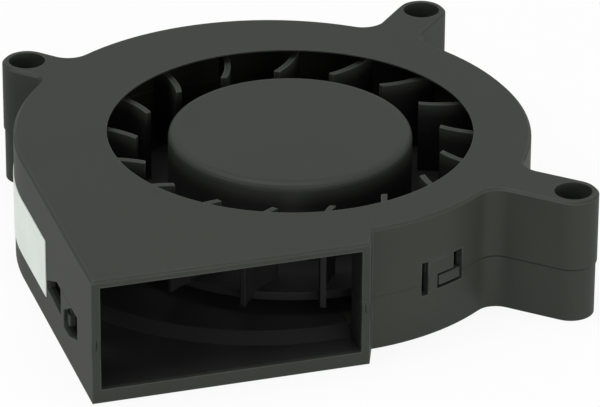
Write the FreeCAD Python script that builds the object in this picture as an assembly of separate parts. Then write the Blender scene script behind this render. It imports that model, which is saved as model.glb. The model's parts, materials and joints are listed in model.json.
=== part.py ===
import FreeCAD, Part
import math
import os

# Small centrifugal blower with an outer-rotor brushless motor.
# Millimetres. The origin is on the rotor axis at the bottom face, +Z is up
# through the inlet, and the outlet faces -Y.

# Housing
HEIGHT = 15.0
WALL = 1.0
TOP_THICKNESS = 0.9
FLOOR_THICKNESS = 1.6
PARTING_Z = 6.5
EDGE_BREAK = 0.3

# Scroll outline, outer faces, grown step by step from the cut-off radius
CUTOFF_RADIUS = 26.4
SIDE_STEP = 1.1
SPREAD_STEP = 4.0
DUCT_STEP = 5.0
OUTLET_STEP = 3.1
SIDE_RADIUS = CUTOFF_RADIUS + SIDE_STEP
SPREAD_RADIUS = CUTOFF_RADIUS + SPREAD_STEP
LEFT_WALL_X = -(CUTOFF_RADIUS + DUCT_STEP)
OUTLET_Y = -(CUTOFF_RADIUS + OUTLET_STEP)
FLANGE_X = 0.2
THROAT_X = -0.75
FLANGE_ANGLE = -86.9
CUTOFF_END_ANGLE = -47.0
SIDE_START_ANGLE = -40.0
SPREAD_START_ANGLE = 2.0
BACK_START_ANGLE = 50.5
TONGUE_RADIUS = 0.4

# Lap joint between cover and case
LAP_SKIRT = 0.5
LAP_RISE = 1.2
LAP_CLEARANCE = 0.05

# Inlet and ears
INLET_RADIUS = 20.9
INLET_LIP = 0.2
INLET_UNDERCUT = 1.4
EAR_RADIUS = 2.9
EAR_HOLE_RADIUS = 2.15
EAR_SET_BACK = 0.15
EAR_GROOVE_HEIGHT = 0.12
EAR_GROOVE_DEPTH = 0.5
EAR_BACK_LEFT_STEP = 9.11
EAR_BACK_LEFT_ANGLE = 133.2
EAR_BACK_RIGHT_STEP = 9.33
EAR_BACK_RIGHT_ANGLE = 46.9
EAR_FRONT_RIGHT_STEP = 8.66
EAR_FRONT_RIGHT_ANGLE = -43.0
VALLEY_RADIUS = 2.5
TIGHT_VALLEY_RADIUS = 1.2

# Snap latches. Lengths run along the wall, from straight in front of the
# rotor axis on the curved wall and from beside it on the straight one.
LATCH_DEPTH = 0.55
LATCH_CLEARANCE = 0.3
LATCH_TOP_CLEARANCE = 0.05
ROUND_SLOT_START = 7.65
ROUND_RAIL_START = 8.55
ROUND_RAIL_END = 9.85
ROUND_HEAD_END = 12.25
ROUND_WINDOW_END = 13.65
ROUND_SLOT_LOW_Z = 5.1
ROUND_WINDOW_LOW_Z = 5.45
ROUND_HEAD_LOW_Z = 7.3
ROUND_HEAD_HIGH_Z = 9.2
ROUND_NUB_INSET = 0.1
FLAT_SLOT = ((10.0, 4.3), (10.0, 5.3), (14.6, 7.4), (16.2, 7.4), (16.2, 4.0))
FLAT_WINDOW = ((17.4, 3.2), (17.4, 5.4), (21.0, 7.4), (23.3, 7.4), (23.3, 4.6), (19.6, 3.2))
FLAT_HOOK = ((16.2, 5.5), (17.4, 5.5), (20.9, 7.35), (16.2, 7.35))
FLAT_TAB_START = 17.8
FLAT_TAB_END = 18.7
FLAT_NUB_LOW_Z = 3.9
FLAT_NUB_HIGH_Z = 5.2
FLAT_NUB_INSET = 0.35

# Case floor
LAND_CENTRE = (-3.25, 2.7)
LAND_STEP = 0.6
LAND_RISE = 1.0
LAND_RAMP = 1.6
PIT_RADIUS = 13.4
BOARD_REST_RADIUS = 12.0
BOARD_REST_WIDTH = 1.4
BOARD_REST_LENGTH = 4.0
BOARD_REST_RISE = 0.4
BOARD_REST_ANGLES = (30.0, 150.0, 270.0)
LEAD_CHANNEL_WIDTH = 3.2
LEAD_CHANNEL_DEPTH = 1.0
LEAD_SLOT_LENGTH = 1.6

# Label
LABEL_THICKNESS = 0.1
LABEL_FRONT_Y = -9.8
LABEL_LOW_Z = 3.1
LABEL_HIGH_Z = 10.1
LABEL_WRAP_ANGLE = 30.0

# Impeller
BLADE_COUNT = 17
BLADE_THICKNESS = 0.7
BLADE_INNER_RADIUS = 17.5
BLADE_OUTER_RADIUS = 24.2
BLADE_SWEEP = -7.0
BLADE_SAGITTA = 0.55
BLADE_PHASE = 14.6
BLADE_CLEARANCE = 0.3
PLATE_RADIUS = 21.3
PLATE_LOW_Z = 4.2
PLATE_THICKNESS = 1.0
HUB_RADIUS = 13.95
HUB_RECESS = 0.05
HUB_TOP_THICKNESS = 1.0
HUB_EDGE_RADIUS = 0.95
HUB_EDGE_BANDS = 4

# Rotor
GLUE_GAP = 0.02
YOKE_RADIUS = 12.85
YOKE_THICKNESS = 0.5
YOKE_CORNER = 0.7
YOKE_LOW_Z = 4.6
MAGNET_THICKNESS = 1.6
MAGNET_LOW_Z = 5.0
MAGNET_TOP_GAP = 1.6
SHAFT_RADIUS = 1.0
SHAFT_TIP_GAP = 0.1
SHAFT_CHAMFER = 0.25
BUSH_RADIUS = 2.9
BUSH_HEIGHT = 2.45
BUSH_EMBED = 0.3
SLINGER_RADIUS = 2.0
SLINGER_THICKNESS = 0.3
CLIP_RADIUS = 1.9
CLIP_THICKNESS = 0.25
CLIP_GROOVE_DEPTH = 0.25
CLIP_OPENING = 1.2

# Bearing
AIR_GAP = 0.4
RUNNING_GAP = 0.3
SHAFT_CLEARANCE = 0.03
TUBE_RADIUS = 3.3
TUBE_BORE_RADIUS = 2.5
BOSS_RADIUS = 4.6
BOSS_HIGH_Z = 4.2
THRUST_DISC_THICKNESS = 0.4
BEARING_LOW_Z = 2.9
SEAL_THICKNESS = 0.5
SEAL_BORE_RADIUS = 1.35
SEAL_RECESS = 0.1
BEARING_CHAMFER = 0.25

# Stator
POLE_COUNT = 4
CORE_LOW_Z = 5.2
CORE_DROP = 1.6
CORE_RING_WIDTH = 1.9
POLE_WIDTH = 3.0
POLE_SHOE_THICKNESS = 1.0
POLE_SHOE_ANGLE = 76.0
INSULATOR_THICKNESS = 0.5
INSULATOR_MARGIN = 0.3
SHOE_PLATE_ANGLE = 54.0
GUARD_HEIGHT = 0.9
COIL_INNER_RADIUS = 5.7
COIL_OUTER_RADIUS = 8.6
COIL_THICKNESS = 1.1
COIL_CLEARANCE = 0.05
COIL_CORNER = 0.5

# Circuit board and what it carries
BOARD_RADIUS = 12.4
BOARD_THICKNESS = 1.0
BOARD_HOLE_CLEARANCE = 0.15
PIN_WIDTH = 0.5
PIN_PITCH_RADIUS = 6.1
PIN_STUB = 0.2
PIN_TAB_WIDTH = 1.4
CHIP_SIZE = (3.0, 2.6, 0.9)
CHIP_PLACE = (6.7, 45.0)
HALL_SIZE = (1.6, 1.4, 0.9)
CAPACITOR_SIZE = (2.0, 1.25, 0.9)
RESISTOR_SIZE = (1.6, 0.8, 0.45)
PAD_SIZE = (1.6, 1.6, 0.12)
PAD_SPACING = 2.6
PAD_PLACE_RADIUS = 11.0
SMALL_PART_RADIUS = 9.6
HALL_ANGLE = 135.0
CAPACITOR_ANGLES = (215.0, 235.0)
RESISTOR_ANGLES = (302.0, 315.0, 328.0)
CUT_MARGIN = 1.0

# Heights and radii that follow from the sizes above
CEILING_Z = HEIGHT - TOP_THICKNESS
LAP_HIGH_Z = PARTING_Z + LAP_RISE
LAND_Z = FLOOR_THICKNESS + LAND_RISE
BLADE_HIGH_Z = CEILING_Z - BLADE_CLEARANCE
HUB_HIGH_Z = HEIGHT - HUB_RECESS
HUB_UNDERSIDE_Z = HUB_HIGH_Z - HUB_TOP_THICKNESS
YOKE_HIGH_Z = HUB_UNDERSIDE_Z - GLUE_GAP
YOKE_INNER_RADIUS = YOKE_RADIUS - YOKE_THICKNESS
MAGNET_RADIUS = YOKE_INNER_RADIUS - GLUE_GAP
MAGNET_BORE_RADIUS = MAGNET_RADIUS - MAGNET_THICKNESS
STATOR_RADIUS = MAGNET_BORE_RADIUS - AIR_GAP
STATOR_BORE_RADIUS = TUBE_RADIUS + GLUE_GAP
CORE_RING_RADIUS = TUBE_RADIUS + CORE_RING_WIDTH
SHOE_INNER_RADIUS = STATOR_RADIUS - POLE_SHOE_THICKNESS
MAGNET_HIGH_Z = YOKE_HIGH_Z - YOKE_THICKNESS - MAGNET_TOP_GAP
BUSH_HIGH_Z = HUB_UNDERSIDE_Z + BUSH_EMBED
BUSH_LOW_Z = BUSH_HIGH_Z - BUSH_HEIGHT
SLINGER_LOW_Z = BUSH_LOW_Z - SLINGER_THICKNESS
TUBE_HIGH_Z = SLINGER_LOW_Z - RUNNING_GAP
CORE_HIGH_Z = TUBE_HIGH_Z - CORE_DROP
BEARING_HIGH_Z = TUBE_HIGH_Z - SEAL_RECESS - SEAL_THICKNESS
THRUST_HIGH_Z = FLOOR_THICKNESS + THRUST_DISC_THICKNESS
SHAFT_LOW_Z = THRUST_HIGH_Z + SHAFT_TIP_GAP
CLIP_LOW_Z = BEARING_LOW_Z - RUNNING_GAP - CLIP_THICKNESS
BOARD_LOW_Z = FLOOR_THICKNESS + BOARD_REST_RISE
BOARD_HIGH_Z = BOARD_LOW_Z + BOARD_THICKNESS
LOWER_INSULATOR_Z = CORE_LOW_Z - INSULATOR_THICKNESS
UPPER_INSULATOR_Z = CORE_HIGH_Z + INSULATOR_THICKNESS
UP = FreeCAD.Vector(0, 0, 1)
AXIS_POINT = FreeCAD.Vector(0, 0, 0)


def polar(radius, angle, z=0.0, centre=(0.0, 0.0)):
    turn = math.radians(angle)
    return FreeCAD.Vector(centre[0] + radius * math.cos(turn), centre[1] + radius * math.sin(turn), z)


def line(start, end):
    return Part.LineSegment(start, end).toShape()


def arc(centre, radius, start_angle, end_angle, z):
    middle_angle = (start_angle + end_angle) / 2
    points = [polar(radius, angle, z, centre) for angle in (start_angle, middle_angle, end_angle)]
    return Part.Arc(*points).toShape()


def prism(edges, height):
    return Part.Face(Part.Wire(edges)).extrude(UP * height)


def cylinder(radius, low, high, centre=(0.0, 0.0)):
    return Part.makeCylinder(radius, high - low, FreeCAD.Vector(centre[0], centre[1], low))


def ring(outer_radius, inner_radius, low, high):
    return cylinder(outer_radius, low, high).cut(cylinder(inner_radius, low - CUT_MARGIN, high + CUT_MARGIN))


def sector(outer_radius, inner_radius, start_angle, end_angle, low, high):
    edges = [
        arc((0, 0), outer_radius, start_angle, end_angle, low),
        line(polar(outer_radius, end_angle, low), polar(inner_radius, end_angle, low)),
        arc((0, 0), inner_radius, end_angle, start_angle, low),
        line(polar(inner_radius, start_angle, low), polar(outer_radius, start_angle, low)),
    ]
    return prism(edges, high - low)


def block(x_range, y_range, z_range):
    corner = FreeCAD.Vector(x_range[0], y_range[0], z_range[0])
    return Part.makeBox(
        x_range[1] - x_range[0], y_range[1] - y_range[0], z_range[1] - z_range[0], corner)


def turned(points):
    """Solid of revolution about the rotor axis from (radius, z) points."""
    corners = [FreeCAD.Vector(radius, 0, z) for radius, z in points]
    edges = [line(corners[i - 1], corners[i]) for i in range(len(corners))]
    return Part.Face(Part.Wire(edges)).revolve(AXIS_POINT, UP, 360)


def rotated(shape, angle):
    copy = shape.copy()
    copy.rotate(AXIS_POINT, UP, angle)
    return copy


def edges_where(shape, test):
    return [edge for edge in shape.Edges if test(edge)]


def level_edges(shape, z):
    """Edges that lie in the horizontal plane at height z."""
    def is_level(edge):
        return abs(edge.BoundBox.ZMin - z) < 1e-4 and abs(edge.BoundBox.ZMax - z) < 1e-4
    return edges_where(shape, is_level)


def save(name, shape):
    shape.exportStep("parts/" + name + ".step")


# Scroll outline: tangent arcs whose radius grows from the cut-off round to the
# straight left wall.
def scroll_arcs():
    spread = math.radians(SPREAD_START_ANGLE)
    back = math.radians(BACK_START_ANGLE)
    spread_shift = SIDE_RADIUS - SPREAD_RADIUS
    spread_centre = (spread_shift * math.cos(spread), spread_shift * math.sin(spread))
    reach = spread_centre[0] + SPREAD_RADIUS * math.cos(back) - LEFT_WALL_X
    back_radius = reach / (1 + math.cos(back))
    back_shift = SPREAD_RADIUS - back_radius
    back_centre = (
        spread_centre[0] + back_shift * math.cos(back),
        spread_centre[1] + back_shift * math.sin(back))
    return [
        ((0, 0), SIDE_RADIUS, SIDE_START_ANGLE, SPREAD_START_ANGLE),
        (spread_centre, SPREAD_RADIUS, SPREAD_START_ANGLE, BACK_START_ANGLE),
        (back_centre, back_radius, BACK_START_ANGLE, 180.0),
    ]


def scroll_prism(inset, low, high):
    """The scroll's outer form, drawn in by inset on every side but the front."""
    cutoff = CUTOFF_RADIUS - inset
    left_corner = FreeCAD.Vector(LEFT_WALL_X + inset, OUTLET_Y, low)
    right_corner = FreeCAD.Vector(FLANGE_X - inset, OUTLET_Y, low)
    edges = [
        line(left_corner, right_corner),
        line(right_corner, polar(cutoff, FLANGE_ANGLE, low)),
        arc((0, 0), cutoff, FLANGE_ANGLE, CUTOFF_END_ANGLE, low),
    ]
    return close_scroll(edges, cutoff, inset, left_corner, low, high)


def cavity_prism(low, high):
    """The air space: scroll and outlet duct, cut on through the front face."""
    cutoff = CUTOFF_RADIUS - WALL
    front = OUTLET_Y - CUT_MARGIN
    throat_y = -math.sqrt(cutoff ** 2 - THROAT_X ** 2)
    throat_angle = math.degrees(math.atan2(throat_y, THROAT_X))
    left_corner = FreeCAD.Vector(LEFT_WALL_X + WALL, front, low)
    right_corner = FreeCAD.Vector(THROAT_X, front, low)
    edges = [
        line(left_corner, right_corner),
        line(right_corner, FreeCAD.Vector(THROAT_X, throat_y, low)),
        arc((0, 0), cutoff, throat_angle, CUTOFF_END_ANGLE, low),
    ]
    return close_scroll(edges, cutoff, WALL, left_corner, low, high)


def close_scroll(edges, cutoff, inset, left_corner, low, high):
    arcs = scroll_arcs()
    side_start = polar(SIDE_RADIUS - inset, SIDE_START_ANGLE, low)
    edges.append(line(polar(cutoff, CUTOFF_END_ANGLE, low), side_start))
    for centre, radius, start, end in arcs:
        edges.append(arc(centre, radius - inset, start, end, low))
    wall_top = FreeCAD.Vector(LEFT_WALL_X + inset, arcs[-1][0][1], low)
    edges.append(line(wall_top, left_corner))
    return prism(edges, high - low)


# Ears: a round lug with a straight-sided web that runs in to the scroll.
def ear_edges(centre, radius, z):
    inward = math.degrees(math.atan2(-centre[1], -centre[0]))
    reach = math.hypot(*centre) - (CUTOFF_RADIUS - WALL)
    root = polar(reach, inward, z, centre)
    left_lug = polar(radius, inward + 90, z, centre)
    right_lug = polar(radius, inward - 90, z, centre)
    left_root = root + left_lug - FreeCAD.Vector(centre[0], centre[1], z)
    right_root = root + right_lug - FreeCAD.Vector(centre[0], centre[1], z)
    return [
        arc(centre, radius, inward + 90, inward + 270, z),
        line(right_lug, right_root),
        line(right_root, left_root),
        line(left_root, left_lug),
    ]


def ear_solid(centre, radius, low, high):
    return prism(ear_edges(centre, radius, low), high - low)


def ear_centre(step, angle):
    centre = polar(CUTOFF_RADIUS + step, angle)
    return (centre.x, centre.y)


def ears():
    """Each ear's centre, and the rounds on its right and left."""
    back_left = ear_centre(EAR_BACK_LEFT_STEP, EAR_BACK_LEFT_ANGLE)
    back_right = ear_centre(EAR_BACK_RIGHT_STEP, EAR_BACK_RIGHT_ANGLE)
    front_right = ear_centre(EAR_FRONT_RIGHT_STEP, EAR_FRONT_RIGHT_ANGLE)
    return [
        (back_left, VALLEY_RADIUS, TIGHT_VALLEY_RADIUS),
        (back_right, VALLEY_RADIUS, VALLEY_RADIUS),
        (front_right, VALLEY_RADIUS, VALLEY_RADIUS),
    ]


def fillet_valley(shape, centre, side, radius):
    """Round the upright inner corner between an ear's web and the scroll, on one side."""
    reach = math.hypot(*centre)

    def is_valley(edge):
        box = edge.BoundBox
        x = edge.CenterOfMass.x - centre[0]
        y = edge.CenterOfMass.y - centre[1]
        across = side * (x * centre[1] - y * centre[0]) / reach
        inward = -(x * centre[0] + y * centre[1]) / reach
        upright = box.ZLength > 10 * max(box.XLength, box.YLength)
        return upright and abs(across - EAR_RADIUS) < EDGE_BREAK and EDGE_BREAK < inward < reach
    return shape.makeFillet(radius, edges_where(shape, is_valley))


def housing_half(low, high, ear_radius):
    """Outer form of one half of the housing, before its air space is cut."""
    shape = scroll_prism(0.0, low, high)
    for centre, _, _ in ears():
        shape = shape.fuse(ear_solid(centre, ear_radius, low, high))
    shape = shape.removeSplitter()
    for centre, right_radius, left_radius in ears():
        shape = fillet_valley(shape, centre, 1, right_radius)
        shape = fillet_valley(shape, centre, -1, left_radius)
    return shape


def cut_ear_holes(shape):
    for centre, _, _ in ears():
        shape = shape.cut(cylinder(EAR_HOLE_RADIUS, -CUT_MARGIN, HEIGHT + CUT_MARGIN, centre))
    return shape


def round_tongue(shape):
    """Round the upright edge where the outlet duct parts from the scroll."""
    throat_y = -math.sqrt((CUTOFF_RADIUS - WALL) ** 2 - THROAT_X ** 2)

    def is_tongue(edge):
        middle = edge.CenterOfMass
        near = abs(middle.x - THROAT_X) < 1e-3 and abs(middle.y - throat_y) < 1e-3
        return near and edge.BoundBox.ZLength > WALL
    return shape.makeFillet(TONGUE_RADIUS, edges_where(shape, is_tongue))


# Snap latches. The case carries an upright hook in the outer part of the wall,
# between a slot and a window, and its head lies over a nub that the cover's
# inner wall lowers into the window.
def curved_patch(outer_inset, inner_inset, start, end, low, high):
    """A piece of the curved wall, between two depths and two lengths along it."""
    start_angle = math.degrees(start / CUTOFF_RADIUS) - 90
    end_angle = math.degrees(end / CUTOFF_RADIUS) - 90
    outer = CUTOFF_RADIUS - outer_inset
    inner = CUTOFF_RADIUS - inner_inset
    return sector(outer, inner, start_angle, end_angle, low, high)


def flat_patch(outer_inset, inner_inset, corners):
    """A piece of the straight wall, between two depths, with its corners as (length along, z)."""
    points = [FreeCAD.Vector(LEFT_WALL_X + outer_inset, -along, z) for along, z in corners]
    edges = [line(points[i - 1], points[i]) for i in range(len(points))]
    return Part.Face(Part.Wire(edges)).extrude(FreeCAD.Vector(inner_inset - outer_inset, 0, 0))


def flat_box(outer_inset, inner_inset, start, end, low, high):
    return flat_patch(outer_inset, inner_inset, ((start, low), (end, low), (end, high), (start, high)))


def curved_hole(start, end, low, high):
    return curved_patch(-CUT_MARGIN, WALL + CUT_MARGIN, start, end, low, high)


def flat_hole(corners):
    return flat_patch(-CUT_MARGIN, WALL + CUT_MARGIN, corners)


def add_hooks_to_case(shape):
    inner = LATCH_DEPTH - LAP_CLEARANCE
    above = LAP_HIGH_Z + CUT_MARGIN
    shape = shape.cut(curved_hole(ROUND_SLOT_START, ROUND_RAIL_START, ROUND_SLOT_LOW_Z, above))
    shape = shape.cut(curved_hole(ROUND_RAIL_END, ROUND_WINDOW_END, ROUND_WINDOW_LOW_Z, above))
    shape = shape.fuse(curved_patch(
        0, inner, ROUND_RAIL_START, ROUND_RAIL_END, PARTING_Z - WALL, ROUND_HEAD_HIGH_Z))
    shape = shape.fuse(curved_patch(
        0, inner, ROUND_RAIL_START, ROUND_HEAD_END, ROUND_HEAD_LOW_Z, ROUND_HEAD_HIGH_Z))
    shape = shape.cut(flat_hole(FLAT_SLOT)).cut(flat_hole(FLAT_WINDOW))
    lip_cut = (FLAT_TAB_START - LATCH_CLEARANCE, FLAT_TAB_END + LATCH_CLEARANCE)
    shape = shape.cut(flat_box(inner, WALL + CUT_MARGIN, *lip_cut, PARTING_Z - WALL, above))
    return shape.fuse(flat_patch(0, inner, FLAT_HOOK))


def add_nubs_to_cover(shape):
    below = PARTING_Z - CUT_MARGIN
    pocket_high = ROUND_HEAD_HIGH_Z + LATCH_TOP_CLEARANCE
    tab_high = LAP_HIGH_Z + LATCH_CLEARANCE
    tab_start = ROUND_RAIL_END + LATCH_CLEARANCE
    tab_end = ROUND_WINDOW_END - LATCH_CLEARANCE
    nub_low = ROUND_WINDOW_LOW_Z + LATCH_CLEARANCE
    nub_high = ROUND_HEAD_LOW_Z - LATCH_CLEARANCE
    shape = shape.cut(curved_patch(
        -CUT_MARGIN, LATCH_DEPTH, ROUND_SLOT_START, ROUND_WINDOW_END, below, pocket_high))
    shape = shape.fuse(curved_patch(LATCH_DEPTH, WALL, tab_start, tab_end, nub_low, tab_high))
    shape = shape.fuse(curved_patch(ROUND_NUB_INSET, WALL, tab_start, tab_end, nub_low, nub_high))
    shape = shape.cut(curved_hole(ROUND_SLOT_START, ROUND_RAIL_START, below, pocket_high))
    shape = shape.cut(curved_hole(ROUND_HEAD_END, ROUND_WINDOW_END, nub_high, pocket_high))
    hook_high = max(z for along, z in FLAT_HOOK) + LATCH_TOP_CLEARANCE
    hook_start = min(along for along, z in FLAT_HOOK)
    window_end = max(along for along, z in FLAT_WINDOW)
    shape = shape.cut(flat_hole(FLAT_SLOT))
    shape = shape.cut(flat_box(-CUT_MARGIN, LATCH_DEPTH, hook_start, window_end, below, hook_high))
    shape = shape.fuse(flat_box(LATCH_DEPTH, WALL, FLAT_TAB_START, FLAT_TAB_END, FLAT_NUB_LOW_Z, tab_high))
    return shape.fuse(flat_box(
        FLAT_NUB_INSET, WALL, FLAT_TAB_START, FLAT_TAB_END, FLAT_NUB_LOW_Z, FLAT_NUB_HIGH_Z))


def cut_ear_groove(shape):
    """A fine groove round the ears, just under the line where the halves meet."""
    low = PARTING_Z - EAR_GROOVE_HEIGHT
    reach = 2 * SPREAD_RADIUS
    core = scroll_prism(0.0, low, PARTING_Z)
    for centre, _, _ in ears():
        core = core.fuse(ear_solid(centre, EAR_RADIUS - EAR_GROOVE_DEPTH, low, PARTING_Z))
    return shape.cut(block((-reach, reach), (-reach, reach), (low, PARTING_Z)).cut(core))


def make_upper_cover():
    shape = housing_half(PARTING_Z, HEIGHT, EAR_RADIUS)
    shape = shape.makeChamfer(EDGE_BREAK, level_edges(shape, HEIGHT))
    shape = shape.cut(cavity_prism(PARTING_Z - CUT_MARGIN, CEILING_Z))
    shape = round_tongue(shape)
    rebate_high = LAP_HIGH_Z + LAP_CLEARANCE
    shape = shape.cut(scroll_prism(LAP_SKIRT, PARTING_Z - CUT_MARGIN, rebate_high))
    shape = shape.cut(cylinder(INLET_RADIUS, CEILING_Z - CUT_MARGIN, HEIGHT + CUT_MARGIN))
    undercut_rise = HEIGHT - INLET_LIP - CEILING_Z
    shape = shape.cut(Part.makeCone(
        INLET_RADIUS + INLET_UNDERCUT, INLET_RADIUS, undercut_rise, FreeCAD.Vector(0, 0, CEILING_Z)))
    return add_nubs_to_cover(cut_ear_holes(shape)).removeSplitter()


def raised_land():
    """The raised floor under the impeller, which slopes down into the outlet duct."""
    top_radius = CUTOFF_RADIUS + LAND_STEP
    foot = FreeCAD.Vector(LAND_CENTRE[0], LAND_CENTRE[1], FLOOR_THICKNESS)
    ramp = Part.makeCone(top_radius + LAND_RAMP, top_radius, LAND_RISE, foot)
    base = cylinder(top_radius + LAND_RAMP, FLOOR_THICKNESS / 2, FLOOR_THICKNESS, LAND_CENTRE)
    return ramp.fuse(base).common(cavity_prism(FLOOR_THICKNESS / 2, LAND_Z))


def make_lower_case():
    shape = cut_ear_groove(housing_half(0.0, PARTING_Z, EAR_RADIUS - EAR_SET_BACK))
    lip = scroll_prism(LAP_SKIRT + LAP_CLEARANCE, PARTING_Z - WALL, LAP_HIGH_Z)
    shape = shape.fuse(lip)
    shape = shape.cut(cavity_prism(FLOOR_THICKNESS, LAP_HIGH_Z + CUT_MARGIN))
    shape = round_tongue(shape)
    shape = shape.fuse(raised_land())
    shape = shape.cut(cylinder(PIT_RADIUS, FLOOR_THICKNESS, LAND_Z + CUT_MARGIN))
    shape = shape.fuse(cylinder(BOSS_RADIUS, FLOOR_THICKNESS / 2, BOSS_HIGH_Z))
    shape = shape.cut(cylinder(TUBE_RADIUS, FLOOR_THICKNESS, BOSS_HIGH_Z + CUT_MARGIN))
    half = BOARD_REST_LENGTH / 2
    rest = block(
        (BOARD_REST_RADIUS - BOARD_REST_WIDTH, BOARD_REST_RADIUS), (-half, half),
        (FLOOR_THICKNESS / 2, BOARD_LOW_Z))
    shape = shape.fuse([rotated(rest, angle) for angle in BOARD_REST_ANGLES])
    shape = cut_lead_channel(shape)
    return add_hooks_to_case(cut_ear_holes(shape)).removeSplitter()


def cut_lead_channel(shape):
    """Lead exit: a slot down out of the motor pit and a channel under the floor to the back rim."""
    half = LEAD_CHANNEL_WIDTH / 2
    slot_start = PIT_RADIUS - LEAD_SLOT_LENGTH
    rim = 2 * CUTOFF_RADIUS
    channel = block((-half, half), (slot_start, rim), (-CUT_MARGIN, LEAD_CHANNEL_DEPTH))
    slot = block((-half, half), (slot_start, PIT_RADIUS), (-CUT_MARGIN, LAND_Z))
    slot = slot.common(cylinder(PIT_RADIUS, -CUT_MARGIN, LAND_Z))
    return shape.cut(channel).cut(slot)


def make_side_label():
    back_centre, back_radius, _, _ = scroll_arcs()[-1]
    outer = back_radius + LABEL_THICKNESS
    end_angle = 180 - LABEL_WRAP_ANGLE
    low = LABEL_LOW_Z
    front_outer = FreeCAD.Vector(LEFT_WALL_X - LABEL_THICKNESS, LABEL_FRONT_Y, low)
    front_inner = FreeCAD.Vector(LEFT_WALL_X, LABEL_FRONT_Y, low)
    edges = [
        line(front_outer, front_inner),
        line(front_inner, polar(back_radius, 180, low, back_centre)),
        arc(back_centre, back_radius, 180, end_angle, low),
        line(polar(back_radius, end_angle, low, back_centre), polar(outer, end_angle, low, back_centre)),
        arc(back_centre, outer, end_angle, 180, low),
        line(polar(outer, 180, low, back_centre), front_outer),
    ]
    return prism(edges, LABEL_HIGH_Z - LABEL_LOW_Z)


# Impeller
def make_blade():
    """One blade: a plate bent to an arc that starts backward at its root and is radial at its tip."""
    root = polar(BLADE_INNER_RADIUS, BLADE_PHASE)
    tip = polar(BLADE_OUTER_RADIUS, BLADE_PHASE + BLADE_SWEEP)
    chord = tip - root
    across = FreeCAD.Vector(chord.y, -chord.x, 0).normalize()
    low = PLATE_LOW_Z + PLATE_THICKNESS / 2
    lift = FreeCAD.Vector(0, 0, low)
    half = across * (BLADE_THICKNESS / 2)
    middle = root + chord * 0.5 + across * BLADE_SAGITTA + lift
    root = root + lift
    tip = tip + lift
    edges = [
        Part.Arc(root + half, middle + half, tip + half).toShape(),
        line(tip + half, tip - half),
        Part.Arc(tip - half, middle - half, root - half).toShape(),
        line(root - half, root + half),
    ]
    return prism(edges, BLADE_HIGH_Z - low)


def hub_edge():
    """The hub's rounded top edge as a few cone bands, from the wall up to the top."""
    points = []
    for i in range(HUB_EDGE_BANDS + 1):
        turn = math.pi / 2 * i / HUB_EDGE_BANDS
        radius = HUB_RADIUS - HUB_EDGE_RADIUS * (1 - math.cos(turn))
        points.append((radius, HUB_HIGH_Z - HUB_EDGE_RADIUS * (1 - math.sin(turn))))
    return points


def make_impeller():
    inner = YOKE_RADIUS + GLUE_GAP
    plate_high = PLATE_LOW_Z + PLATE_THICKNESS
    profile = [
        (0, HUB_UNDERSIDE_Z), (inner, HUB_UNDERSIDE_Z), (inner, PLATE_LOW_Z),
        (PLATE_RADIUS, PLATE_LOW_Z), (PLATE_RADIUS, plate_high), (HUB_RADIUS, plate_high),
    ]
    shape = turned(profile + hub_edge() + [(0, HUB_HIGH_Z)])
    shape = shape.cut(cylinder(BUSH_RADIUS + GLUE_GAP, HUB_UNDERSIDE_Z - CUT_MARGIN, BUSH_HIGH_Z))
    blade = make_blade()
    pitch = 360 / BLADE_COUNT
    return shape.fuse([rotated(blade, pitch * i) for i in range(BLADE_COUNT)]).removeSplitter()


# Rotor
def make_rotor_yoke():
    """A drawn steel cup, with its outer corner drawn as a bevel."""
    ceiling = YOKE_HIGH_Z - YOKE_THICKNESS
    bore = BUSH_RADIUS + GLUE_GAP
    return turned([
        (bore, ceiling), (YOKE_INNER_RADIUS, ceiling), (YOKE_INNER_RADIUS, YOKE_LOW_Z),
        (YOKE_RADIUS, YOKE_LOW_Z), (YOKE_RADIUS, YOKE_HIGH_Z - YOKE_CORNER),
        (YOKE_RADIUS - YOKE_CORNER, YOKE_HIGH_Z), (bore, YOKE_HIGH_Z),
    ])


def make_ring_magnet():
    return ring(MAGNET_RADIUS, MAGNET_BORE_RADIUS, MAGNET_LOW_Z, MAGNET_HIGH_Z)


def make_shaft():
    groove_radius = SHAFT_RADIUS - CLIP_GROOVE_DEPTH
    groove_high = CLIP_LOW_Z + CLIP_THICKNESS
    tip = SHAFT_RADIUS - SHAFT_CHAMFER
    return turned([
        (0, SHAFT_LOW_Z), (tip, SHAFT_LOW_Z), (SHAFT_RADIUS, SHAFT_LOW_Z + SHAFT_CHAMFER / 2),
        (SHAFT_RADIUS, CLIP_LOW_Z), (groove_radius, CLIP_LOW_Z), (groove_radius, groove_high),
        (SHAFT_RADIUS, groove_high), (SHAFT_RADIUS, BUSH_HIGH_Z), (0, BUSH_HIGH_Z),
    ])


def make_hub_bush():
    bore = SHAFT_RADIUS + GLUE_GAP
    return ring(BUSH_RADIUS, bore, BUSH_LOW_Z, BUSH_HIGH_Z)


def make_slinger_washer():
    return ring(SLINGER_RADIUS, SHAFT_RADIUS + GLUE_GAP, SLINGER_LOW_Z, BUSH_LOW_Z)


def make_retaining_ring():
    inner = SHAFT_RADIUS - CLIP_GROOVE_DEPTH + GLUE_GAP
    shape = ring(CLIP_RADIUS, inner, CLIP_LOW_Z, CLIP_LOW_Z + CLIP_THICKNESS)
    half = CLIP_OPENING / 2
    mouth = block((0, CLIP_RADIUS + CUT_MARGIN), (-half, half), (CLIP_LOW_Z - CUT_MARGIN, BEARING_LOW_Z))
    return shape.cut(mouth)


# Bearing
def make_bearing_tube():
    return ring(TUBE_RADIUS - GLUE_GAP, TUBE_BORE_RADIUS, FLOOR_THICKNESS, TUBE_HIGH_Z)


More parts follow.
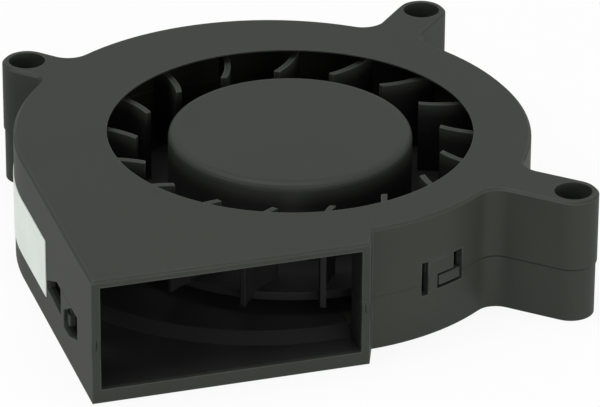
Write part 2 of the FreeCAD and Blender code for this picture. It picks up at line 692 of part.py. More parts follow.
def make_sleeve_bearing():
    outer = TUBE_BORE_RADIUS - GLUE_GAP
    bore = SHAFT_RADIUS + SHAFT_CLEARANCE
    return turned([
        (bore, BEARING_LOW_Z), (outer - BEARING_CHAMFER, BEARING_LOW_Z),
        (outer, BEARING_LOW_Z + BEARING_CHAMFER), (outer, BEARING_HIGH_Z - BEARING_CHAMFER),
        (outer - BEARING_CHAMFER, BEARING_HIGH_Z), (bore, BEARING_HIGH_Z),
    ])


def make_thrust_disc():
    return cylinder(TUBE_BORE_RADIUS - GLUE_GAP, FLOOR_THICKNESS, THRUST_HIGH_Z)


def make_oil_seal():
    seal_high = BEARING_HIGH_Z + SEAL_THICKNESS
    return ring(TUBE_BORE_RADIUS - GLUE_GAP, SEAL_BORE_RADIUS, BEARING_HIGH_Z, seal_high)


# Stator
def pole_plan(bore, ring_radius, width, shoe_inner, shoe_outer, shoe_angle, low, high):
    """Ring with straight poles that end in curved shoes."""
    shape = cylinder(ring_radius, low, high)
    bar = block((0, shoe_inner + POLE_SHOE_THICKNESS / 2), (-width / 2, width / 2), (low, high))
    shoe = sector(shoe_outer, shoe_inner, -shoe_angle / 2, shoe_angle / 2, low, high)
    for i in range(POLE_COUNT):
        turn = 360 / POLE_COUNT * i
        shape = shape.fuse([rotated(bar, turn), rotated(shoe, turn)])
    return shape.removeSplitter().cut(cylinder(bore, low - CUT_MARGIN, high + CUT_MARGIN))


def make_stator_core():
    return pole_plan(
        STATOR_BORE_RADIUS, CORE_RING_RADIUS, POLE_WIDTH, SHOE_INNER_RADIUS, STATOR_RADIUS,
        POLE_SHOE_ANGLE, CORE_LOW_Z, CORE_HIGH_Z)


def insulator_plate(low):
    return pole_plan(
        STATOR_BORE_RADIUS, CORE_RING_RADIUS, POLE_WIDTH + 2 * INSULATOR_MARGIN, SHOE_INNER_RADIUS,
        STATOR_RADIUS - INSULATOR_MARGIN, SHOE_PLATE_ANGLE, low, low + INSULATOR_THICKNESS)


def add_guards(shape, low, high):
    """Upright guards on the shoes that keep the windings in."""
    half = POLE_WIDTH / 2 + COIL_THICKNESS
    radial = (COIL_OUTER_RADIUS + COIL_CLEARANCE, SHOE_INNER_RADIUS + INSULATOR_MARGIN)
    guard = block(radial, (-half, half), (low, high))
    return shape.fuse([rotated(guard, 360 / POLE_COUNT * i) for i in range(POLE_COUNT)])


def make_upper_insulator():
    shape = add_guards(insulator_plate(CORE_HIGH_Z), CORE_HIGH_Z, UPPER_INSULATOR_Z + GUARD_HEIGHT)
    return shape.removeSplitter()


def make_lower_insulator():
    shape = add_guards(insulator_plate(LOWER_INSULATOR_Z), LOWER_INSULATOR_Z - GUARD_HEIGHT, CORE_LOW_Z)
    shape = shape.fuse(ring(BOSS_RADIUS, STATOR_BORE_RADIUS, BOSS_HIGH_Z, CORE_LOW_Z))
    half = PIN_TAB_WIDTH / 2
    tab = block(
        (TUBE_RADIUS + half, PIN_PITCH_RADIUS + half), (-half, half), (LOWER_INSULATOR_Z, CORE_LOW_Z))
    for i in range(POLE_COUNT):
        shape = shape.fuse(rotated(tab, pin_angle(i)))
    shape = shape.removeSplitter()
    for i in range(POLE_COUNT):
        shape = shape.cut(pin_solid(i, GLUE_GAP, CUT_MARGIN))
    return shape


def make_coil(index):
    """A winding round one pole, with its corners drawn in."""
    inner_half = POLE_WIDTH / 2 + INSULATOR_MARGIN + COIL_CLEARANCE
    inner_low = LOWER_INSULATOR_Z - COIL_CLEARANCE
    inner_high = UPPER_INSULATOR_Z + COIL_CLEARANCE
    outer_half = inner_half + COIL_THICKNESS
    radial = (COIL_INNER_RADIUS, COIL_OUTER_RADIUS)
    z_range = (inner_low - COIL_THICKNESS, inner_high + COIL_THICKNESS)
    outer = block(radial, (-outer_half, outer_half), z_range)
    long_edges = edges_where(outer, lambda edge: edge.BoundBox.XLength > COIL_THICKNESS)
    outer = outer.makeChamfer(COIL_CORNER, long_edges)
    past = (radial[0] - CUT_MARGIN, radial[1] + CUT_MARGIN)
    hollow = block(past, (-inner_half, inner_half), (inner_low, inner_high))
    return rotated(outer.cut(hollow), 360 / POLE_COUNT * index)


# Winding pins join the coils to the board, one between each two poles.
def pin_angle(index):
    return 360 / POLE_COUNT * (index + 0.5)


def pin_solid(index, clearance, overrun):
    half = PIN_WIDTH / 2 + clearance
    pin = block(
        (PIN_PITCH_RADIUS - half, PIN_PITCH_RADIUS + half), (-half, half),
        (BOARD_LOW_Z - overrun, CORE_LOW_Z - PIN_STUB + overrun))
    return rotated(pin, pin_angle(index))


def make_winding_pins():
    return Part.makeCompound([pin_solid(i, 0.0, 0.0) for i in range(POLE_COUNT)])


def make_circuit_board():
    shape = ring(BOARD_RADIUS, BOSS_RADIUS + BOARD_HOLE_CLEARANCE, BOARD_LOW_Z, BOARD_HIGH_Z)
    half = LEAD_CHANNEL_WIDTH / 2
    notch_start = PIT_RADIUS - LEAD_SLOT_LENGTH
    notch = block((-half, half), (notch_start, PIT_RADIUS), (BOARD_LOW_Z - CUT_MARGIN, LAND_Z + CUT_MARGIN))
    shape = shape.cut(notch)
    for i in range(POLE_COUNT):
        shape = shape.cut(pin_solid(i, GLUE_GAP, CUT_MARGIN))
    return shape


def board_component(size, radius, angle):
    """A block on the board, with its long side across the radius."""
    deep, wide, high = size[1], size[0], size[2]
    body = block(
        (radius - deep / 2, radius + deep / 2), (-wide / 2, wide / 2), (BOARD_HIGH_Z, BOARD_HIGH_Z + high))
    return rotated(body, angle)


def make_driver_chip():
    return board_component(CHIP_SIZE, CHIP_PLACE[0] + CHIP_SIZE[1] / 2, CHIP_PLACE[1])


def make_hall_sensor():
    return board_component(HALL_SIZE, MAGNET_BORE_RADIUS, HALL_ANGLE)


def make_capacitors():
    return Part.makeCompound([
        board_component(CAPACITOR_SIZE, SMALL_PART_RADIUS, angle) for angle in CAPACITOR_ANGLES])


def make_resistors():
    return Part.makeCompound([
        board_component(RESISTOR_SIZE, SMALL_PART_RADIUS, angle) for angle in RESISTOR_ANGLES])


def make_lead_pads():
    half = PAD_SIZE[0] / 2
    y_range = (PAD_PLACE_RADIUS - PAD_SIZE[1] / 2, PAD_PLACE_RADIUS + PAD_SIZE[1] / 2)
    z_range = (BOARD_HIGH_Z, BOARD_HIGH_Z + PAD_SIZE[2])
    centres = (-PAD_SPACING / 2, PAD_SPACING / 2)
    return Part.makeCompound([block((x - half, x + half), y_range, z_range) for x in centres])


def main():
    os.makedirs("parts", exist_ok=True)
    save("upper_cover", make_upper_cover())
    save("lower_case", make_lower_case())
    save("side_label", make_side_label())
    save("impeller", make_impeller())
    save("rotor_yoke", make_rotor_yoke())
    save("ring_magnet", make_ring_magnet())
    save("shaft", make_shaft())
    save("hub_bush", make_hub_bush())
    save("slinger_washer", make_slinger_washer())
    save("retaining_ring", make_retaining_ring())
    save("bearing_tube", make_bearing_tube())
    save("sleeve_bearing", make_sleeve_bearing())
    save("thrust_disc", make_thrust_disc())
    save("oil_seal", make_oil_seal())
    save("stator_core", make_stator_core())
    save("upper_insulator", make_upper_insulator())
    save("lower_insulator", make_lower_insulator())
    for index in range(POLE_COUNT):
        save("coil_" + str(index + 1), make_coil(index))
    save("winding_pins", make_winding_pins())
    save("circuit_board", make_circuit_board())
    save("driver_chip", make_driver_chip())
    save("hall_sensor", make_hall_sensor())
    save("capacitors", make_capacitors())
    save("resistors", make_resistors())
    save("lead_pads", make_lead_pads())


main()
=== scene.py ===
"""A small dc blower: dark moulded scroll housing, open inlet with a bladed rotor, front outlet."""
import json
import math

import bmesh
import bpy
from mathutils import Matrix, Vector

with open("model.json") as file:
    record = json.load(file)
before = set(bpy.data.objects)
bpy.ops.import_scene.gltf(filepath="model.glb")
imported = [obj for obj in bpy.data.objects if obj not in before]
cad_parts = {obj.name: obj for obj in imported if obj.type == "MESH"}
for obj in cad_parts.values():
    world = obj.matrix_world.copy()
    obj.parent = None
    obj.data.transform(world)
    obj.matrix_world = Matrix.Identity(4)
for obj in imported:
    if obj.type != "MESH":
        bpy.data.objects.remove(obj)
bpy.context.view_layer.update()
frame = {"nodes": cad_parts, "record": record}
MM = 0.001
WHITE = (1, 1, 1, 1)
NUMBER, VECTOR = "NodeSocketFloat", "NodeSocketVector"

# Camera: where the photograph was taken from, with its long lens
CAMERA_AZIMUTH = math.radians(-17.29)
CAMERA_ELEVATION = math.radians(27.23)
CAMERA_ROLL = math.radians(0.34)
CAMERA_PLACE = Vector((-149.73, -484.99, 266.57)) * MM
CAMERA_LENS = 298.2
CAMERA_SENSOR = 36.0

# Studio: a white floor and surround, with a dark card to the left
FLOOR_SIZE = 6.0
FLOOR_DROP = 0.05 * MM
FLOOR_COLOUR = (0.88, 0.88, 0.88, 1)
FLOOR_ROUGHNESS = 0.8
FLOOR_GLOSS = 0.1
FLOOR_VEIL = 0.9
WORLD_STRENGTH = 0.32
SHADED_SIDE = (-0.98, -0.2, 0.0)
SHADED_START, SHADED_END = 0.3, 0.8
SHADED_STRENGTH = 0.35

# Lamps in metres and watts: name, place, aim, width and height, power
SQUARE_BOX = (0.6, 0.6)
LOW_STRIP = (1.2, 0.24)
LAMPS = (
    ("overhead", (0, 0, 1.0), (0, 0, 0), SQUARE_BOX, 3.3),
    ("upper_left", (-0.6, 0, 0.8), (0, 0, 0), SQUARE_BOX, 4.3),
    ("front", (0.1, -0.95, 0.3), (0, 0, 0), SQUARE_BOX, 2.3),
    ("front_low", (-0.1, -1.1, 0.13), (0, 0, 0.01), LOW_STRIP, 3.0),
    ("right_low", (0.9, -0.7, 0.13), (0, 0, 0.01), LOW_STRIP, 2.9),
)

# The part of a noise mask's range in which nearly all of it lies
NOISE_LOW, NOISE_HIGH = 0.3, 0.7

# How far roughness runs below and above a finish's own
MOULDED_SWING = (0.03, 0.04)
TURNED_SWING = (0.05, 0.08)
SPECKLED_SWING = (0.05, 0.05)
FILM_SWING = (0.04, 0.08)

# The mouldings' matt black body, and the thin smooth skin over it
PLASTIC_DARK = (0.0265, 0.0295, 0.0243, 1)
PLASTIC_LIGHT = (0.031, 0.034, 0.0281, 1)
BODY_GLOSS = 0.06
CASE_ROUGHNESS = 0.77
ROTOR_ROUGHNESS = 0.75
SKIN_WEIGHT = 0.235
SKIN_ROUGHNESS = 0.4
GRAIN_SCALE = 4200.0
DRIFT_SCALE = 70.0
CASE_GRAIN_HEIGHT = 0.008 * MM
ROTOR_GRAIN_HEIGHT = 0.006 * MM

# Their edges: drawn softer than they are cut, with a painted highlight that lightens them away
# from the parting line
CASE_EDGE_ROUND = 0.25 * MM
BLADE_EDGE_ROUND = 0.3 * MM
EDGE_SAMPLES = 8
# Painted highlight: the lighter colour laid along the edges, how much of it the drift lets
# through, and the normal match over which it fades
HIGHLIGHT_COLOUR = (0.066, 0.0695, 0.063, 1)
HIGHLIGHT_LEAST = 0.6
HIGHLIGHT_FULL, HIGHLIGHT_NONE = 0.9, 0.998
PARTING_HEIGHT = 6.5 * MM
PARTING_MARGIN = 1.0 * MM

# Faces that the mould polishes, and that painted shade darkens: inside the duct, and between the
# blades
DUCT_LOW = Vector((-30.9, -28.9, 0.8)) * MM
DUCT_HIGH = Vector((-0.5, 4.0, 14.5)) * MM
# Painted shade: the darker colour inside the duct
DUCT_SHADE_COLOUR = (0.018, 0.0185, 0.018, 1)
# Painted shade between the blades: it fades in over this depth below the blade tops, to this
# darker colour
BLADE_TOPS = 13.9 * MM
BLADE_DEPTH = 2.0 * MM
BLADE_SHADE_COLOUR = (0.012, 0.012, 0.012, 1)
POLISHED_ROUGHNESS = 0.5
POLISHED_SKIN = 0.08

# Blank label film, with slow cloudiness and a fine tooth
FILM_DARK = (0.70, 0.80, 0.71, 1)
FILM_LIGHT = (0.81, 0.87, 0.81, 1)
FILM_ROUGHNESS = 0.38
CLOUD_SCALE = 160.0
TOOTH_SCALE = 3000.0
TOOTH_DEPTH = 0.004 * MM

# The board's green lacquer over its glass weave
LACQUER_DARK = (0.01, 0.10, 0.035, 1)
LACQUER_LIGHT = (0.02, 0.16, 0.055, 1)
LACQUER_ROUGHNESS = 0.3
WEAVE_SCALE = 900.0
WEAVE_DEPTH = 0.01 * MM

# Banded metals by slot: name, dark, light, roughness, direction, scale, waviness, depth
BANDED = {
    "core_steel": ("stacked_steel", (0.10, 0.10, 0.11, 1), (0.34, 0.35, 0.37, 1),
                   0.45, "Z", 320.0, 0.4, 0.03 * MM),
    "winding": ("wound_wire", (0.20, 0.06, 0.02, 1), (0.72, 0.30, 0.12, 1),
                0.32, "DIAGONAL", 900.0, 1.2, 0.05 * MM),
}

# Turned metals by slot: name, dark, light, roughness, scale
RING_STRETCH = (0.15, 0.15, 1.0)
RING_DEPTH = 0.004 * MM
TURNED = {
    "yoke_steel": ("drawn_steel", (0.36, 0.36, 0.35, 1), (0.52, 0.52, 0.50, 1), 0.34, 2600.0),
    "shaft_steel": ("ground_steel", (0.50, 0.50, 0.50, 1), (0.66, 0.66, 0.65, 1), 0.2, 4000.0),
    "bush_brass": ("turned_brass", (0.58, 0.41, 0.17, 1), (0.72, 0.54, 0.25, 1), 0.25, 2600.0),
}

# Speckled solids by slot: name, dark, light, roughness, metallic, scale, depth
SPECKLED = {
    "magnet": ("bonded_ferrite", (0.03, 0.028, 0.027, 1), (0.06, 0.056, 0.052, 1),
               0.6, 0.0, 900.0, 0.01 * MM),
    "sintered_bronze": ("sintered_bronze", (0.28, 0.17, 0.08, 1), (0.50, 0.34, 0.18, 1),
                        0.5, 1.0, 2400.0, 0.02 * MM),
    "washer": ("natural_acetal", (0.66, 0.63, 0.55, 1), (0.74, 0.71, 0.63, 1),
               0.4, 0.0, 500.0, 0.003 * MM),
    "seal": ("oil_proof_rubber", (0.02, 0.02, 0.02, 1), (0.035, 0.035, 0.035, 1),
             0.7, 0.0, 1500.0, 0.008 * MM),
    "insulator": ("natural_nylon", (0.64, 0.62, 0.55, 1), (0.72, 0.70, 0.63, 1),
                  0.45, 0.0, 400.0, 0.003 * MM),
    "chip": ("moulded_epoxy", (0.015, 0.015, 0.015, 1), (0.03, 0.03, 0.03, 1),
             0.5, 0.0, 2500.0, 0.006 * MM),
    "capacitor": ("fired_ceramic", (0.34, 0.22, 0.12, 1), (0.50, 0.36, 0.22, 1),
                  0.45, 0.0, 1200.0, 0.004 * MM),
    "solder": ("tinned_metal", (0.55, 0.55, 0.56, 1), (0.70, 0.70, 0.72, 1),
               0.28, 1.0, 700.0, 0.01 * MM),
}


# Node helpers
def feed(tree, socket, value):
    """Link a socket to another node's output, or set it to a plain value."""
    if isinstance(value, bpy.types.NodeSocket):
        tree.links.new(value, socket)
    else:
        socket.default_value = value


def noise(tree, vector, scale, detail, roughness=0.5):
    node = tree.nodes.new("ShaderNodeTexNoise")
    node.inputs["Detail"].default_value = detail
    node.inputs["Roughness"].default_value = roughness
    tree.links.new(vector, node.inputs["Vector"])
    feed(tree, node.inputs["Scale"], scale)
    return node.outputs["Fac"]


def bands(tree, vector, direction, scale, waviness):
    node = tree.nodes.new("ShaderNodeTexWave")
    node.bands_direction = direction
    node.inputs["Scale"].default_value = scale
    node.inputs["Distortion"].default_value = waviness
    tree.links.new(vector, node.inputs["Vector"])
    return node.outputs["Fac"]


def ramp(tree, value, start, end, low, high, interpolation="LINEAR"):
    """Run from low to high as a value goes from start to end, and stay there beyond them."""
    node = tree.nodes.new("ShaderNodeMapRange")
    node.interpolation_type = interpolation
    ends = {"From Min": start, "From Max": end, "To Min": low, "To Max": high}
    for label, number in ends.items():
        node.inputs[label].default_value = number
    tree.links.new(value, node.inputs["Value"])
    return node.outputs["Result"]


def spread(tree, mask, low=0.0, high=1.0):
    """Stretch a noise mask so that nearly all of it runs from low to high."""
    return ramp(tree, mask, NOISE_LOW, NOISE_HIGH, low, high)


def swing(tree, mask, middle, reach):
    """Run along a noise mask from below a middle value to above it."""
    below, above = reach
    return spread(tree, mask, middle - below, middle + above)


def maths(tree, operation, *values):
    node = tree.nodes.new("ShaderNodeMath")
    node.operation = operation
    for socket, value in zip(node.inputs, values):
        feed(tree, socket, value)
    return node.outputs["Value"]


def vector_maths(tree, operation, *values):
    node = tree.nodes.new("ShaderNodeVectorMath")
    node.operation = operation
    for socket, value in zip(node.inputs, values):
        feed(tree, socket, value)
    return node.outputs["Value" if operation == "DOT_PRODUCT" else "Vector"]


def split(tree, vector):
    node = tree.nodes.new("ShaderNodeSeparateXYZ")
    tree.links.new(vector, node.inputs["Vector"])
    return node.outputs


def mix_colour(tree, factor, first, second):
    node = tree.nodes.new("ShaderNodeMix")
    node.data_type = "RGBA"
    for label, value in (("Factor", factor), ("A", first), ("B", second)):
        feed(tree, next(s for s in node.inputs if s.name == label and s.enabled), value)
    return next(s for s in node.outputs if s.enabled)


def bump(tree, height, distance, normal=None):
    node = tree.nodes.new("ShaderNodeBump")
    node.inputs["Distance"].default_value = distance
    tree.links.new(height, node.inputs["Height"])
    if normal is not None:
        tree.links.new(normal, node.inputs["Normal"])
    return node.outputs["Normal"]


def plain_material(name, roughness, metallic=0.0, specular=0.5):
    """A Principled material with its tree, its shader and the object's own coordinates."""
    material = bpy.data.materials.new(name)
    material.use_nodes = True
    tree = material.node_tree
    shader = next(node for node in tree.nodes if node.type == "BSDF_PRINCIPLED")
    shader.inputs["Roughness"].default_value = roughness
    shader.inputs["Metallic"].default_value = metallic
    shader.inputs["Specular IOR Level"].default_value = specular
    coordinates = tree.nodes.new("ShaderNodeTexCoord").outputs["Object"]
    return material, tree, shader, coordinates


# Effects that several finishes share
def new_group(name, inputs, outputs):
    """A shader node group with named sockets, and the sockets of its two inner ends."""
    group = bpy.data.node_groups.new(name, "ShaderNodeTree")
    for side, sockets in (("INPUT", inputs), ("OUTPUT", outputs)):
        for label, kind in sockets.items():
            group.interface.new_socket(label, in_out=side, socket_type=kind)
    source = group.nodes.new("NodeGroupInput")
    result = group.nodes.new("NodeGroupOutput")
    return group, source.outputs, result.inputs


def use_group(tree, group, vector, **values):
    """Place a group in a material with that material's own values."""
    node = tree.nodes.new("ShaderNodeGroup")
    node.node_tree = group
    tree.links.new(vector, node.inputs["Vector"])
    for label, value in values.items():
        node.inputs[label].default_value = value
    return node.outputs


def spark_grain_group():
    """The fine matt grain that a spark-eroded mould leaves, with slow drifts in shade."""
    group, source, result = new_group(
        "spark_grain", {"Vector": VECTOR, "Scale": NUMBER}, {"Height": NUMBER, "Drift": NUMBER})
    fine = noise(group, source["Vector"], source["Scale"], detail=2.0, roughness=0.6)
    broad = noise(group, source["Vector"], DRIFT_SCALE, detail=4.0, roughness=0.55)
    group.links.new(fine, result["Height"])
    group.links.new(broad, result["Drift"])
    return group


def highlighted_edges_group():
    """Edges as a softened normal, and as a mask of 1 where a painted highlight makes them lighter.
    """
    group, source, result = new_group(
        "highlighted_edges", {"Vector": VECTOR, "Radius": NUMBER}, {"Highlight": NUMBER, "Normal": VECTOR})
    bevel = group.nodes.new("ShaderNodeBevel")
    bevel.samples = EDGE_SAMPLES
    group.links.new(source["Radius"], bevel.inputs["Radius"])
    soft = bevel.outputs["Normal"]
    own = group.nodes.new("ShaderNodeNewGeometry").outputs["Normal"]
    match = vector_maths(group, "DOT_PRODUCT", soft, own)
    edge = ramp(group, match, HIGHLIGHT_FULL, HIGHLIGHT_NONE, 1.0, 0.0)
    above = maths(group, "SUBTRACT", split(group, source["Vector"])["Z"], PARTING_HEIGHT)
    clear = maths(group, "GREATER_THAN", maths(group, "ABSOLUTE", above), PARTING_MARGIN)
    group.links.new(maths(group, "MULTIPLY", edge, clear), result["Highlight"])
    group.links.new(soft, result["Normal"])
    return group


def turned_rings_group():
    """Fine rings round the rotor axis, as a lathe leaves them."""
    group, source, result = new_group(
        "turned_rings", {"Vector": VECTOR, "Scale": NUMBER}, {"Rings": NUMBER})
    stretch = group.nodes.new("ShaderNodeMapping")
    stretch.inputs["Scale"].default_value = RING_STRETCH
    group.links.new(source["Vector"], stretch.inputs["Vector"])
    rings = noise(group, stretch.outputs["Vector"], source["Scale"], detail=2.0)
    group.links.new(rings, result["Rings"])
    return group


def speckle_group():
    """A fine uneven speckle, as in sintered metal or fired ceramic."""
    group, source, result = new_group(
        "speckle", {"Vector": VECTOR, "Scale": NUMBER}, {"Speckle": NUMBER})
    speckle = noise(group, source["Vector"], source["Scale"], detail=4.0, roughness=0.6)
    group.links.new(speckle, result["Speckle"])
    return group


SPARK_GRAIN = spark_grain_group()
HIGHLIGHTED_EDGES = highlighted_edges_group()
TURNED_RINGS = turned_rings_group()
SPECKLE = speckle_group()


# Finishes
def in_duct(tree, place):
    """1 on the housing's inner faces along the duct, 0 on its outside."""
    offset = vector_maths(tree, "SUBTRACT", place, (DUCT_LOW + DUCT_HIGH) / 2)
    share = vector_maths(tree, "DIVIDE", offset, (DUCT_HIGH - DUCT_LOW) / 2)
    x, y, z = split(tree, vector_maths(tree, "ABSOLUTE", share))
    farthest = maths(tree, "MAXIMUM", maths(tree, "MAXIMUM", x, y), z)
    return maths(tree, "LESS_THAN", farthest, 1.0)


def between_blades(tree, place):
    """0 at the blades' top edges, rising to 1 deeper down between them."""
    height = split(tree, place)["Z"]
    return ramp(tree, height, BLADE_TOPS - BLADE_DEPTH, BLADE_TOPS, 1.0, 0.0, "SMOOTHSTEP")


def moulded_plastic(name, roughness, grain_height, edge_round, polished_and_shaded, shade_colour):
    """Matt black plastic under its thin skin, smoother where the mould polishes it, with painted
    shade darkening those faces.
    """
    material, tree, shader, place = plain_material(name, roughness, specular=BODY_GLOSS)
    shader.inputs["Coat Roughness"].default_value = SKIN_ROUGHNESS
    grain = use_group(tree, SPARK_GRAIN, place, Scale=GRAIN_SCALE)
    edges = use_group(tree, HIGHLIGHTED_EDGES, place, Radius=edge_round)
    polish_and_shade = polished_and_shaded(tree, place)

    body = mix_colour(tree, spread(tree, grain["Drift"]), PLASTIC_DARK, PLASTIC_LIGHT)
    # Painted highlight along the edges, patchy with the drift, laid over the body colour
    edge_glint = maths(tree, "MULTIPLY", spread(tree, grain["Drift"], HIGHLIGHT_LEAST), edges["Highlight"])
    body = mix_colour(tree, edge_glint, body, HIGHLIGHT_COLOUR)
    # Painted shade: a darker colour inside the duct and between the blades
    colour = mix_colour(tree, polish_and_shade, body, shade_colour)
    tree.links.new(colour, shader.inputs["Base Color"])

    matt = swing(tree, grain["Drift"], roughness, MOULDED_SWING)
    gain = maths(tree, "MULTIPLY", polish_and_shade, roughness - POLISHED_ROUGHNESS)
    tree.links.new(maths(tree, "SUBTRACT", matt, gain), shader.inputs["Roughness"])
    loss = maths(tree, "MULTIPLY", polish_and_shade, SKIN_WEIGHT - POLISHED_SKIN)
    tree.links.new(maths(tree, "SUBTRACT", SKIN_WEIGHT, loss), shader.inputs["Coat Weight"])
    normal = bump(tree, grain["Height"], grain_height, edges["Normal"])
    tree.links.new(normal, shader.inputs["Normal"])
    return material


def run_along(tree, shader, mask, dark, light, roughness, reach, depth):
    """Let one noise mask shift a finish in colour, roughness and height."""
    colour = mix_colour(tree, spread(tree, mask), dark, light)
    tree.links.new(colour, shader.inputs["Base Color"])
    tree.links.new(swing(tree, mask, roughness, reach), shader.inputs["Roughness"])
    tree.links.new(bump(tree, mask, depth), shader.inputs["Normal"])


def turned_metal(name, dark, light, roughness, scale):
    material, tree, shader, place = plain_material(name, roughness, metallic=1.0)
    rings = use_group(tree, TURNED_RINGS, place, Scale=scale)["Rings"]
    run_along(tree, shader, rings, dark, light, roughness, TURNED_SWING, RING_DEPTH)
    return material


def speckled_solid(name, dark, light, roughness, metallic, scale, depth):
    material, tree, shader, place = plain_material(name, roughness, metallic)
    speckle = use_group(tree, SPECKLE, place, Scale=scale)["Speckle"]
    run_along(tree, shader, speckle, dark, light, roughness, SPECKLED_SWING, depth)
    return material


def banded_metal(name, dark, light, roughness, direction, scale, waviness, depth):
    """Fine lines: steel sheets seen on edge, or wire wound round a coil."""
    material, tree, shader, place = plain_material(name, roughness, metallic=1.0)
    lines = bands(tree, place, direction, scale, waviness)
    tree.links.new(mix_colour(tree, lines, dark, light), shader.inputs["Base Color"])
    tree.links.new(bump(tree, lines, depth), shader.inputs["Normal"])
    return material


def board_lacquer():
    material, tree, shader, place = plain_material("solder_mask", LACQUER_ROUGHNESS)
    weave = noise(tree, place, WEAVE_SCALE, detail=2.0)
    colour = mix_colour(tree, spread(tree, weave), LACQUER_DARK, LACQUER_LIGHT)
    tree.links.new(colour, shader.inputs["Base Color"])
    tree.links.new(bump(tree, weave, WEAVE_DEPTH), shader.inputs["Normal"])
    return material


def label_film():
    material, tree, shader, place = plain_material("label_film", FILM_ROUGHNESS)
    cloud = noise(tree, place, CLOUD_SCALE, detail=3.0)
    tooth = noise(tree, place, TOOTH_SCALE, detail=2.0)
    colour = mix_colour(tree, spread(tree, cloud), FILM_DARK, FILM_LIGHT)
    tree.links.new(colour, shader.inputs["Base Color"])
    tree.links.new(swing(tree, cloud, FILM_ROUGHNESS, FILM_SWING), shader.inputs["Roughness"])
    tree.links.new(bump(tree, tooth, TOOTH_DEPTH), shader.inputs["Normal"])
    return material


def finishes():
    """One material for each of the record's slots."""
    made = {
        "housing": moulded_plastic(
            "housing_plastic", CASE_ROUGHNESS, CASE_GRAIN_HEIGHT, CASE_EDGE_ROUND,
            in_duct, DUCT_SHADE_COLOUR),
        "impeller": moulded_plastic(
            "impeller_plastic", ROTOR_ROUGHNESS, ROTOR_GRAIN_HEIGHT, BLADE_EDGE_ROUND,
            between_blades, BLADE_SHADE_COLOUR),
        "label": label_film(),
        "board": board_lacquer(),
    }
    made.update({slot: banded_metal(*row) for slot, row in BANDED.items()})
    made.update({slot: turned_metal(*row) for slot, row in TURNED.items()})
    made.update({slot: speckled_solid(*row) for slot, row in SPECKLED.items()})
    return made


def dress(node, material):
    """Give a node its material in every slot."""
    if not node.material_slots:
        node.data.materials.append(material)
    for slot in node.material_slots:
        slot.material = material


def dress_nodes(materials):
    slots = {row["node"]: row["material_slot"] for row in frame["record"]["subparts"]}
    for name, node in frame["nodes"].items():
        dress(node, materials[slots[name]])


# Studio
def make_camera():
    camera = bpy.data.objects.new("camera", bpy.data.cameras.new("camera"))
    bpy.context.scene.collection.objects.link(camera)
    turn = (Matrix.Rotation(CAMERA_AZIMUTH, 4, "Z")
            @ Matrix.Rotation(math.pi / 2 - CAMERA_ELEVATION, 4, "X")
            @ Matrix.Rotation(CAMERA_ROLL, 4, "Z"))
    camera.matrix_world = Matrix.Translation(CAMERA_PLACE) @ turn
    camera.data.lens = CAMERA_LENS
    camera.data.sensor_width = CAMERA_SENSOR
    camera.data.sensor_fit = "HORIZONTAL"
    bpy.context.scene.camera = camera


def seen_by_lens(tree):
    """1 where the lens looks straight at a surface or meets it in a reflection."""
    path = tree.nodes.new("ShaderNodeLightPath")
    seen = maths(tree, "MAXIMUM", path.outputs["Is Camera Ray"], path.outputs["Is Glossy Ray"])
    return maths(tree, "MAXIMUM", seen, path.outputs["Is Transmission Ray"])


def mix_shaders(tree, factor, first, second, target):
    mix = tree.nodes.new("ShaderNodeMixShader")
    tree.links.new(factor, mix.inputs["Fac"])
    tree.links.new(first, mix.inputs[1])
    tree.links.new(second, mix.inputs[2])
    tree.links.new(mix.outputs[0], target)


def shaded_side(tree):
    """1 all round the studio, and lower towards the dark card on its left."""
    direction = tree.nodes.new("ShaderNodeTexCoord").outputs["Generated"]
    toward = vector_maths(tree, "DOT_PRODUCT", direction, SHADED_SIDE)
    return ramp(tree, toward, SHADED_START, SHADED_END, 1.0, SHADED_STRENGTH, "SMOOTHSTEP")


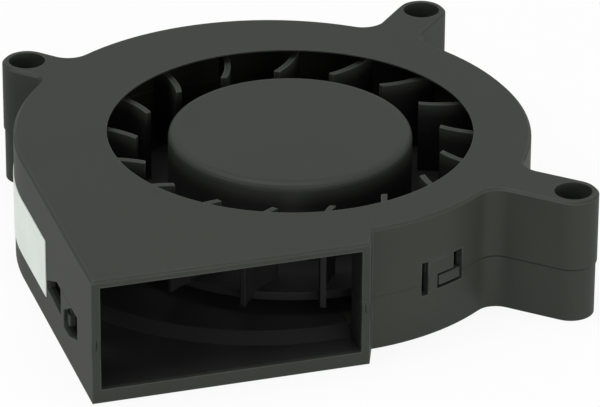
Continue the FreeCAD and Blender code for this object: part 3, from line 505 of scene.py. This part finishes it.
def make_world():
    """A dim surround that lights the object, and a white one for the lens and reflections."""
    world = bpy.data.worlds.new("studio")
    bpy.context.scene.world = world
    world.use_nodes = True
    tree = world.node_tree
    lit = tree.nodes["Background"]
    lit.inputs["Color"].default_value = WHITE
    white = tree.nodes.new("ShaderNodeBackground")
    white.inputs["Color"].default_value = WHITE
    side = shaded_side(tree)
    tree.links.new(maths(tree, "MULTIPLY", side, WORLD_STRENGTH), lit.inputs["Strength"])
    direct = tree.nodes.new("ShaderNodeLightPath").outputs["Is Camera Ray"]
    tree.links.new(maths(tree, "MAXIMUM", direct, side), white.inputs["Strength"])
    target = tree.nodes["World Output"].inputs["Surface"]
    mix_shaders(tree, seen_by_lens(tree), lit.outputs[0], white.outputs[0], target)


def floor_material():
    """Pale matt floor that keeps the object's shadow and is seen as nearly white."""
    material = bpy.data.materials.new("floor_white")
    material.use_nodes = True
    tree = material.node_tree
    shader = tree.nodes["Principled BSDF"]
    shader.inputs["Base Color"].default_value = FLOOR_COLOUR
    shader.inputs["Roughness"].default_value = FLOOR_ROUGHNESS
    shader.inputs["Specular IOR Level"].default_value = FLOOR_GLOSS
    glow = tree.nodes.new("ShaderNodeEmission")
    glow.inputs["Color"].default_value = WHITE
    glow.inputs["Strength"].default_value = 1.0
    veil = maths(tree, "MULTIPLY", seen_by_lens(tree), FLOOR_VEIL)
    target = tree.nodes["Material Output"].inputs["Surface"]
    mix_shaders(tree, veil, shader.outputs[0], glow.outputs[0], target)
    return material


def make_floor():
    mesh = bpy.data.meshes.new("floor")
    shape = bmesh.new()
    bmesh.ops.create_grid(shape, x_segments=1, y_segments=1, size=FLOOR_SIZE / 2)
    bmesh.ops.translate(shape, verts=shape.verts, vec=(0, 0, -FLOOR_DROP))
    shape.to_mesh(mesh)
    shape.free()
    floor = bpy.data.objects.new("floor", mesh)
    bpy.context.scene.collection.objects.link(floor)
    mesh.materials.append(floor_material())


def area_light(name, place, aim, size, power):
    light = bpy.data.lights.new(name, "AREA")
    light.shape = "RECTANGLE"
    light.size, light.size_y = size
    light.energy = power
    lamp = bpy.data.objects.new(name, light)
    lamp.location = place
    lamp.rotation_euler = (Vector(aim) - Vector(place)).to_track_quat("-Z", "Y").to_euler()
    bpy.context.scene.collection.objects.link(lamp)


bpy.context.scene.view_settings.view_transform = "Standard"
dress_nodes(finishes())
make_camera()
make_floor()
make_world()
for row in LAMPS:
    area_light(*row)
